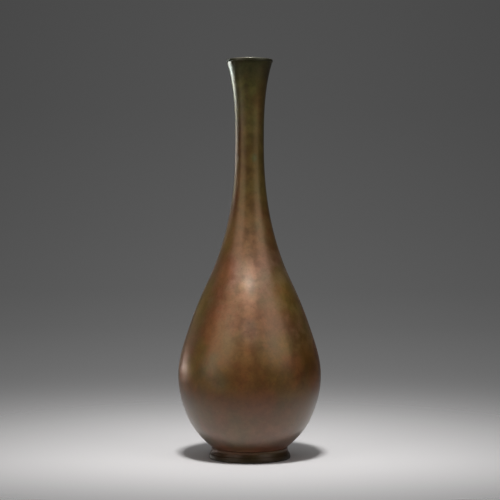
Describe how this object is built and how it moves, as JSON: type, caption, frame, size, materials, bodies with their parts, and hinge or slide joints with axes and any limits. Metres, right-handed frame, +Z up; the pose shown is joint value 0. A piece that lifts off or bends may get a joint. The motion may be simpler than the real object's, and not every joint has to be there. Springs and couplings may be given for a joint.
{
  "type": "bottle vase",
  "caption": "Slender pear-shaped copper-alloy vase with a long drawn-up neck, a small raised lip and a low flared foot, for a single stem.",
  "frame": {"origin": "centre of the face that the foot ring stands on", "axes": "+Z up along the vase's axis, through the mouth; the vase is the same all round, and -Y is the side that the picture shows"},
  "size_m": [0.1086, 0.1086, 0.303],
  "materials": {
    "body_patina": "mottled red-brown and olive patina, waxed satin",
    "lip_patina": "dark olive patina, waxed satin",
    "foot_patina": "dark brown patina with fine turning rings, satin",
    "base_patina": "brown patina, turned, matt satin",
    "solder": "dull grey-brown solder"
  },
  "bodies": {
    "root": {"foot_ring": "foot_patina", "base_plate": "base_patina", "belly": "body_patina", "neck": "body_patina", "lip_ring": "lip_patina", "base_solder": "solder", "foot_solder": "solder", "neck_solder": "solder", "lip_solder": "solder"}
  },
  "joints": []
}
